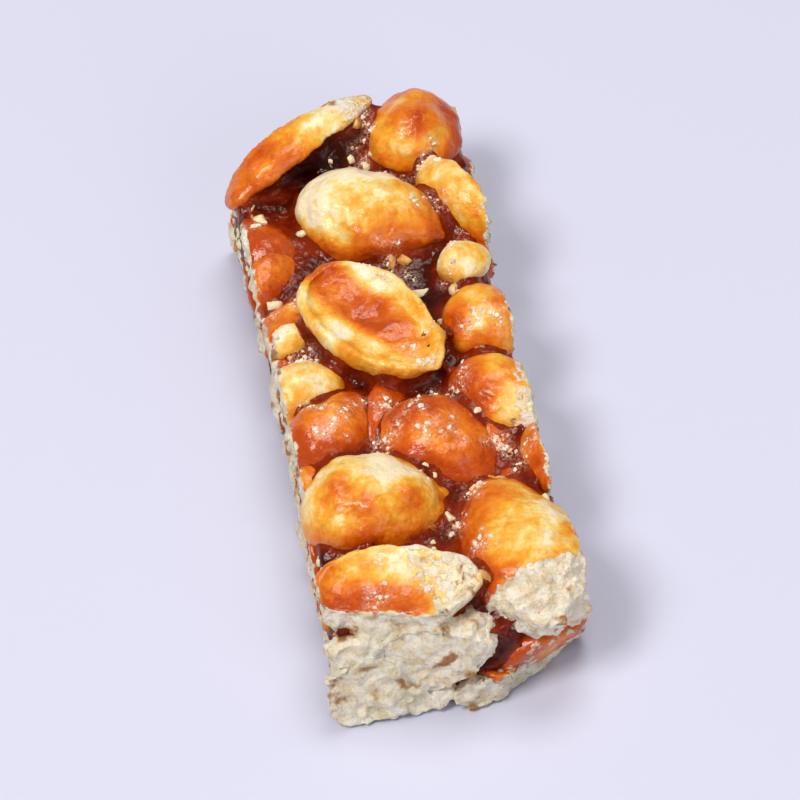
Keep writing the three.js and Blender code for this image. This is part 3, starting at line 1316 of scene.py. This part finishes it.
@dataclass
class PeanutCrumbs:
    """Broken bits of peanut in the sugar, on the top, in the cut sides and in the far end."""

    draw: Draw
    outline: Outline
    kinds: int = 5
    broken_faces: int = 4
    broken_at: Range = (0.35, 0.7)
    lump_height: float = 0.35
    lump_size: float = 0.6
    top_count: int = 260
    top_sunk: float = 0.2
    side_count: int = 520
    side_sunk: float = 0.25
    side_heights: Range = (0.6, 10.0)
    least: float = 0.8
    spread: float = 2.0
    piece: Object = field(init=False)

    def model(self, index: int) -> Object:
        """Models one crumb: a lump broken along a few flat faces.

        Args:
            index: Which kind it is.

        Returns:
            The crumb, one unit in half its size.
        """
        bpy.ops.mesh.primitive_ico_sphere_add(subdivisions=2, radius=1.0)
        crumb = added(f"crumb_{index}")
        with editing(crumb):
            for _ in range(self.broken_faces):
                normal = self.draw.pace(1, 1, 1).normalized()
                middle = normal * self.draw.between(*self.broken_at)
                bpy.ops.mesh.select_all(action="SELECT")
                bpy.ops.mesh.bisect(plane_co=middle, plane_no=normal, use_fill=True, clear_outer=True)
            bpy.ops.mesh.select_all(action="SELECT")
            bpy.ops.mesh.quads_convert_to_tris()
            bpy.ops.mesh.subdivide(number_cuts=1)
        roughen(crumb, self.lump_height, self.lump_size)
        return crumb

    def build(self, landing: Landing) -> None:
        """Scatters the crumbs where sugar shows: on the top, then round it, with each fourth on the far end.

        Args:
            landing: Finds where they land.
        """
        bits = Bits("peanut_crumbs", [self.model(index) for index in range(self.kinds)], self.draw)
        half_width, half_length = self.outline.width / 2, self.outline.length / 2
        for _ in range(self.top_count):
            start = self.draw.pace(half_width, half_length) - DOWN * landing.start
            self.try_bit(bits, landing.hit(start, DOWN), self.top_sunk)
        for index in range(self.side_count):
            side = (-1.0, 1.0)[index % 2]
            if index % 4 == 3:
                start = Vector((self.draw.off(half_width), landing.start, 0.0))
                way = Vector((0.0, -1.0, 0.0))
            else:
                start = Vector((side * landing.start, self.draw.off(half_length), 0.0))
                way = Vector((-side, 0.0, 0.0))
            start.z = self.draw.between(*self.side_heights)
            self.try_bit(bits, landing.hit(start, way), self.side_sunk)
        self.piece = bits.build()

    def try_bit(self, bits: Bits, hit: Optional[Hit], sunk: float) -> None:
        """Lays one crumb where a way met sugar, and nothing where it met a peanut or missed the bar.

        Args:
            bits: The crumbs.
            hit: What the way met.
            sunk: How deep the crumb lies in the sugar, as a share of its size.
        """
        size = self.least + self.spread * self.draw() ** 2
        tone = self.draw()
        if hit is not None and hit.on_sugar:
            bits.lay(hit, size, sunk, tone)

    def dress(self, finish: "CrumbFinish") -> None:
        """Gives the crumbs their finish and puts them on the bar."""
        shade_smooth(self.piece)
        settle(self.piece, finish.material())


# ---------------------------------------------------------------- finishes


def colour(code: str) -> Colour:
    """Gives a screen colour such as e8a23c in linear light."""
    return tuple(Color([part / 255 for part in bytes.fromhex(code)]).from_srgb_to_scene_linear())


@dataclass(frozen=True)
class Noise:
    """A soft random pattern: its size in millimetres, how much it changes, its detail and its roughness."""

    size: float
    change: float = 1.0
    detail: float = 2.0
    roughness: float = 0.5


@dataclass(frozen=True)
class Patches:
    """Random patches: none of them where a noise is at start, and its whole change where it is at full."""

    noise: Noise
    start: float
    full: float


@dataclass(frozen=True)
class Glow:
    """How light spreads under a surface: its weight, its reach in millimetres, and each colour's share."""

    weight: float
    reach: float
    shares: Colour


class Shader:
    """One material's nodes: adds them, links them and sets the surface's values."""

    NOISE_LOW = 0.3
    NOISE_HIGH = 0.7
    MIX_FIRST = 6
    MIX_SECOND = 7
    MIX_RESULT = 2

    def __init__(self, name: str) -> None:
        """Starts an empty material with a Principled surface.

        Args:
            name: The material's name.
        """
        self.material = bpy.data.materials.new(name)
        self.material.use_nodes = True
        self.tree = self.material.node_tree
        self.surface = self.tree.nodes["Principled BSDF"]
        self.place = self.node("TexCoord", {}, "Object")

    def put(self, socket: NodeSocket, value: object) -> None:
        """Links a socket to another one, or sets its value.

        Args:
            socket: The input socket.
            value: An output socket, a number, or three numbers of a colour or a vector.
        """
        if isinstance(value, NodeSocket):
            self.tree.links.new(value, socket)
        elif socket.type == "RGBA":
            socket.default_value = (*value, 1.0)
        else:
            socket.default_value = value

    def set(self, **values: object) -> None:
        """Sets or links the surface's inputs.

        Args:
            **values: The values, by the inputs' names in lower case with underscores.
        """
        by_name = {socket.name.lower().replace(" ", "_"): socket for socket in self.surface.inputs}
        for name, value in values.items():
            self.put(by_name[name], value)

    def glow(self, glow: Glow) -> None:
        """Lets light spread under the surface."""
        reach = glow.reach * METRES
        self.set(subsurface_weight=glow.weight, subsurface_radius=glow.shares, subsurface_scale=reach)

    def node(self, kind: str, inputs: dict[Name, object], output: Name, **settings: object) -> NodeSocket:
        """Adds a node.

        Args:
            kind: Its type, after the words ShaderNode.
            inputs: What goes into it, by the sockets' names or numbers.
            output: The name or number of the socket that is wanted.
            **settings: Its other values by name.

        Returns:
            That socket.
        """
        node = self.tree.nodes.new(f"ShaderNode{kind}")
        for name, value in settings.items():
            setattr(node, name, value)
        for name, value in inputs.items():
            self.put(node.inputs[name], value)
        return node.outputs[output]

    def field(self, name: str) -> NodeSocket:
        """Reads a number that the mesh stores for each vertex."""
        return self.node("Attribute", {}, "Fac", attribute_name=name)

    def noise(self, noise: Noise) -> NodeSocket:
        """Gives a noise's pattern from 0 to 1."""
        grain = {"Scale": 1.0 / (noise.size * METRES), "Detail": noise.detail, "Roughness": noise.roughness}
        return self.node("TexNoise", {"Vector": self.place, **grain}, "Fac")

    def cells(self, size: float) -> NodeSocket:
        """Gives the distance from the middles of random cells of a size in millimetres."""
        return self.node("TexVoronoi", {"Vector": self.place, "Scale": 1.0 / (size * METRES)}, "Distance")

    def math(self, operation: str, *values: object) -> NodeSocket:
        """Works out one sum of numbers."""
        return self.node("Math", dict(enumerate(values)), 0, operation=operation)

    def scale(self, value: NodeSocket, low: float, high: float, to_low: float, to_high: float) -> NodeSocket:
        """Maps a number's range onto another range, held at its ends."""
        inputs = {"Value": value, "From Min": low, "From Max": high, "To Min": to_low, "To Max": to_high}
        return self.node("MapRange", inputs, "Result")

    def patches(self, patches: Patches) -> NodeSocket:
        """Gives the share of some patches."""
        noise = patches.noise
        return self.scale(self.noise(noise), patches.start, patches.full, 0.0, noise.change)

    def uneven(self, value: NodeSocket, noise: Noise) -> NodeSocket:
        """Changes a number by up to a noise's change either way."""
        change = self.scale(self.noise(noise), self.NOISE_LOW, self.NOISE_HIGH, -noise.change, noise.change)
        return self.math("ADD", value, change)

    def ramp(self, value: NodeSocket, stops: Stops) -> NodeSocket:
        """Gives the colour of a number along a row of stops.

        Args:
            value: The number.
            stops: Each stop's position and colour.

        Returns:
            The colour.
        """
        shown = self.node("ValToRGB", {"Fac": value}, "Color")
        elements = shown.node.color_ramp.elements
        while len(elements) < len(stops):
            elements.new(0.5)
        for element, (position, tint) in zip(elements, stops):
            element.position = position
            element.color = (*tint, 1.0)
        return shown

    def mix(self, share: object, first: object, second: object) -> NodeSocket:
        """Mixes two colours, through the node's colour sockets, which only their numbers tell apart."""
        inputs = {"Factor": share, self.MIX_FIRST: first, self.MIX_SECOND: second}
        return self.node("Mix", inputs, self.MIX_RESULT, data_type="RGBA")

    def relief(self, *layers: tuple[NodeSocket, float]) -> NodeSocket:
        """Gives the normal of a fine relief.

        Args:
            *layers: Each layer's pattern and its height in millimetres, the lowest layer first.

        Returns:
            The normal.
        """
        under: dict[Name, object] = {}
        for pattern, height in layers:
            inputs = {"Height": pattern, "Distance": height * METRES, "Strength": 1.0, **under}
            under = {"Normal": self.node("Bump", inputs, "Normal")}
        return under["Normal"]


@dataclass(frozen=True)
class Frost:
    """Fine sugar on a surface, where the mesh's frost field says so."""

    most: float
    tint: Colour = colour("f6d6bd")
    patches: Patches = Patches(Noise(0.28, 1.0, 3.0, 0.7), 0.46, 0.6)

    def over(self, shader: Shader, base: NodeSocket) -> tuple[NodeSocket, NodeSocket]:
        """Lays the fine sugar over a colour.

        Args:
            shader: The material's nodes.
            base: The colour under it.

        Returns:
            The colour with the sugar, and the sugar's share.
        """
        share = shader.math("MULTIPLY", shader.field("frost"), shader.patches(self.patches))
        share = shader.math("MULTIPLY", share, self.most)
        return shader.mix(share, base, self.tint), share


@dataclass(frozen=True)
class PeanutFinish:
    """A roasted peanut under a film of sugar: cream where bare and on its painted highlight side, orange
    where glazed, deeper orange low by the sugar, partly as painted shade, and crumbly where cut.
    """

    skin: Stops = (
        (0.0, colour("fceac6")),
        (0.09, colour("f7d685")),
        (0.27, colour("f2ae30")),
        (0.5, colour("e67b10")),
        (0.78, colour("c95006")),
        (1.0, colour("963006")),
    )
    most: float = 0.85
    mottles: tuple[Noise, ...] = (Noise(3.2, 0.9), Noise(1.1, 0.38), Noise(0.45, 0.26))
    crumb: Colour = colour("fcf3e3")
    crumb_shade: Colour = colour("e8d6b4")
    # this brown tints the sugar-stained patches, and also the specks of painted shade in small pits
    crumb_brown: Colour = colour("ab6d36")
    shaded: Patches = Patches(Noise(1.3, 1.0, 4.0), 0.42, 0.62)
    browned: Patches = Patches(Noise(2.6, 0.9, 3.0), 0.6, 0.67)
    # painted shade: small dark brown specks stand in for the shade in tiny pits of the cut faces
    pit_shade_specks: Patches = Patches(Noise(0.5, 0.4), 0.6, 0.72)
    ragged: Noise = Noise(0.9, 0.4, 3.0)
    cut_edge: Range = (0.42, 0.66)
    wrinkles: tuple[Noise, ...] = (Noise(0.4, 0.07, 3.0), Noise(1.0, 0.2))
    crumble: Noise = Noise(0.4, 0.3, 4.0, 0.65)
    gloss_range: Range = (0.1, 0.8)
    gloss: float = 0.22
    dull: float = 0.45
    cut_roughness: float = 0.8
    coat: float = 0.3
    coat_roughness: float = 0.08
    specular: float = 0.35
    glow: Glow = Glow(0.2, 1.2, (1.0, 0.4, 0.15))
    frost: Frost = Frost(0.5)

    def material(self) -> Material:
        """Builds the finish.

        Returns:
            The material.
        """
        shader = Shader("glazed_peanut")
        # the glaze field also holds the painted highlight on one side of each peanut and the painted shade
        # near the sugar
        amount = shader.math("ADD", shader.field("glaze"), shader.field("hollow"))
        for mottle in self.mottles:
            pattern = shader.math("MULTIPLY_ADD", shader.noise(mottle), mottle.change, -mottle.change / 2)
            amount = shader.math("ADD", amount, pattern)
        amount = shader.math("MINIMUM", amount, self.most)
        # the browned patches are sugar stains; the specks mixed in with them are painted shade in small pits
        brown = shader.math("MAXIMUM", shader.patches(self.browned), shader.patches(self.pit_shade_specks))
        crumb = shader.mix(shader.patches(self.shaded), self.crumb, self.crumb_shade)
        crumb = shader.mix(brown, crumb, self.crumb_brown)
        cut = shader.scale(shader.uneven(shader.field("cut"), self.ragged), *self.cut_edge, 0.0, 1.0)
        tint, frost = self.frost.over(shader, shader.mix(cut, shader.ramp(amount, self.skin), crumb))
        glossy = shader.scale(amount, *self.gloss_range, self.dull, self.gloss)
        rough = shader.math("MULTIPLY_ADD", cut, self.cut_roughness - self.gloss, glossy)
        layers = [(shader.noise(wrinkle), wrinkle.change) for wrinkle in self.wrinkles]
        layers.append((shader.math("MULTIPLY", shader.noise(self.crumble), cut), self.crumble.change))
        coat = shader.math("MULTIPLY", shader.math("SUBTRACT", 1.0, cut), self.coat)
        rough = shader.math("MAXIMUM", rough, frost)
        shader.set(base_color=tint, roughness=rough, normal=shader.relief(*layers))
        shader.set(specular_ior_level=self.specular, coat_weight=coat, coat_roughness=self.coat_roughness)
        shader.glow(self.glow)
        return shader.material


@dataclass(frozen=True)
class CrumbFinish:
    """Broken peanut: cream to tan, and some bits brown with sugar."""

    tones: Stops = ((0.35, colour("f2e6c0")), (0.7, colour("dfa957")), (1.0, colour("a04a14")))
    toasted: Noise = Noise(0.9, 0.25, 3.0)
    crumble: Noise = Noise(0.35, 0.1, 3.0)
    roughness: float = 0.55
    glow: Glow = Glow(0.15, 0.8, (1.0, 0.5, 0.2))

    def material(self) -> Material:
        """Builds the finish.

        Returns:
            The material.
        """
        shader = Shader("broken_peanut")
        tone = shader.uneven(shader.field("tone"), self.toasted)
        relief = shader.relief((shader.noise(self.crumble), self.crumble.change))
        shader.set(base_color=shader.ramp(tone, self.tones), roughness=self.roughness, normal=relief)
        shader.glow(self.glow)
        return shader.material


@dataclass(frozen=True)
class GrainFinish:
    """Clear to white sugar crystals, some tinted by the boiled sugar under them."""

    tones: Stops = ((0.45, colour("fdf1e0")), (0.95, colour("ecb48a")))
    roughness: float = 0.25
    glow: Glow = Glow(0.4, 0.4, (1.0, 0.8, 0.6))

    def material(self) -> Material:
        """Builds the finish.

        Returns:
            The material.
        """
        shader = Shader("sugar_grain")
        shader.set(base_color=shader.ramp(shader.field("tone"), self.tones), roughness=self.roughness)
        shader.glow(self.glow)
        return shader.material


@dataclass(frozen=True)
class SugarFinish:
    """Set boiled sugar: amber where thin, dark red-brown where deep, with a glassy bubbly surface."""

    depths: Stops = (
        (0.05, colour("842703")),
        (0.22, colour("6a1803")),
        (0.5, colour("470d02")),
        (0.95, colour("2a0502")),
    )
    deepest: float = 2.6
    cloudy: Noise = Noise(2.2, 0.5)
    bubble_size: float = 0.8
    bubble_height: float = 0.12
    ripples: Noise = Noise(0.5, 0.08, 3.0)
    roughness: float = 0.16
    specular: float = 0.24
    glow: Glow = Glow(0.15, 1.0, (1.0, 0.25, 0.05))
    frost: Frost = Frost(0.4)

    def material(self) -> Material:
        """Builds the finish.

        Returns:
            The material.
        """
        shader = Shader("boiled_sugar")
        depth = shader.uneven(shader.field("thick"), self.cloudy)
        share = shader.math("DIVIDE", depth, self.deepest)
        tint, frost = self.frost.over(shader, shader.ramp(share, self.depths))
        bubbles = (shader.cells(self.bubble_size), self.bubble_height)
        relief = shader.relief(bubbles, (shader.noise(self.ripples), self.ripples.change))
        shader.set(base_color=tint, roughness=shader.math("MAXIMUM", frost, self.roughness), normal=relief)
        shader.set(specular_ior_level=self.specular)
        shader.glow(self.glow)
        return shader.material


@dataclass(frozen=True)
class FloorFinish:
    """A plain pale floor."""

    tint: Colour = colour("d3d6f0")
    roughness: float = 0.55

    def material(self) -> Material:
        """Builds the finish.

        Returns:
            The material.
        """
        shader = Shader("pale_floor")
        shader.set(base_color=self.tint, roughness=self.roughness)
        return shader.material


# ---------------------------------------------------------------- studio


def direction(azimuth: float, elevation: float) -> Vector:
    """Gives the way from the bar to a thing seen at an azimuth and elevation, in degrees."""
    turn, rise = math.radians(azimuth), math.radians(elevation)
    return Vector((math.sin(turn) * math.cos(rise), -math.cos(turn) * math.cos(rise), math.sin(rise)))


@dataclass(frozen=True)
class Softbox:
    """One soft light: the way to it in degrees, its distance and size in metres, and its power in watts."""

    name: str
    azimuth: float
    elevation: float
    distance: float
    size: float
    power: float
    tint: Colour

    def build(self, aim: Vector) -> None:
        """Hangs the light and points it at the bar.

        Args:
            aim: The point it lights.
        """
        data = bpy.data.lights.new(self.name, "AREA")
        data.shape = "SQUARE"
        data.size = self.size
        data.energy = self.power
        data.color = self.tint
        light = bpy.data.objects.new(self.name, data)
        bpy.context.scene.collection.objects.link(light)
        way = direction(self.azimuth, self.elevation)
        light.location = aim + way * self.distance
        light.rotation_euler = way.to_track_quat("Z", "Y").to_euler()


@dataclass(frozen=True)
class Studio:
    """The floor, the soft lights, the sky and the camera, in metres and degrees."""

    azimuth: float = -7.6
    elevation: float = 47.3
    roll: float = -3.5
    distance: float = 0.512
    lens: float = 240.0
    sensor_width: float = 36.0
    clip_start: float = 0.01
    aim: Vector = Vector((0.0, -0.0005, 0.006))
    floor_size: float = 4.0
    sky: Colour = (1.0, 0.96, 0.91)
    sky_strength: float = 0.232
    softboxes: tuple[Softbox, ...] = (
        Softbox("key", -60.0, 58.0, 0.9, 0.3, 5.0, (1.0, 0.955, 0.87)),
        Softbox("top", 150.0, 70.0, 0.9, 0.4, 3.15, (1.0, 0.98, 0.93)),
        Softbox("fill", 25.0, 30.0, 1.0, 0.6, 1.85, (1.0, 0.98, 0.93)),
    )

    def build(self) -> None:
        """Sets up the studio."""
        bpy.ops.mesh.primitive_plane_add(size=self.floor_size)
        floor = added("floor")
        floor.data.materials.append(FloorFinish().material())
        for softbox in self.softboxes:
            softbox.build(self.aim)
        world = bpy.data.worlds.new("studio")
        world.use_nodes = True
        background = world.node_tree.nodes["Background"]
        background.inputs["Color"].default_value = (*self.sky, 1.0)
        background.inputs["Strength"].default_value = self.sky_strength
        bpy.context.scene.world = world
        bpy.context.scene.view_settings.view_transform = "Standard"
        self.set_camera()

    def set_camera(self) -> None:
        """Adds the camera and points it at the bar."""
        data = bpy.data.cameras.new("camera")
        data.lens = self.lens
        data.sensor_width = self.sensor_width
        data.clip_start = self.clip_start
        camera = bpy.data.objects.new("camera", data)
        bpy.context.scene.collection.objects.link(camera)
        way = direction(self.azimuth, self.elevation)
        level = way.to_track_quat("Z", "Y").to_matrix().to_4x4()
        camera.location = self.aim + way * self.distance
        camera.rotation_euler = (level @ turn_about("Z", self.roll)).to_euler()
        bpy.context.scene.camera = camera


# ---------------------------------------------------------------- the whole


def report(piece: Object) -> None:
    """Logs how many triangles a finished piece has."""
    piece.data.calc_loop_triangles()
    LOG.info("%s: %d triangles", piece.name, len(piece.data.loop_triangles))


def main() -> None:
    """Loads the frame, makes the bar round it and sets up the studio."""
    logging.basicConfig(level=logging.INFO, format="%(message)s", force=True)
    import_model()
    Studio().build()
    outline = Outline()
    kernels = KernelModels()
    kernels.build()
    heap = PeanutHeap(PeanutMaker(kernels, outline), LowerLayers())
    heap.build()
    kernels.remove()
    sugar = BoiledSugar(outline)
    sugar.build(heap.parts())
    heap.soak_and_shade(sugar.body)
    landing = Landing(heap.parts(), sugar.body)
    landing.build()
    grains = SugarGrains(Draw(GRAIN_SEED))
    grains.build(landing)
    crumbs = PeanutCrumbs(Draw(CRUMB_SEED), outline)
    crumbs.build(landing)
    heap.dress(PeanutFinish())
    sugar.dress(SugarFinish())
    grains.dress(GrainFinish())
    crumbs.dress(CrumbFinish())
    for piece in (*heap.parts(), sugar.body, grains.piece, crumbs.piece):
        report(piece)


if __name__ == "__main__":
    main()
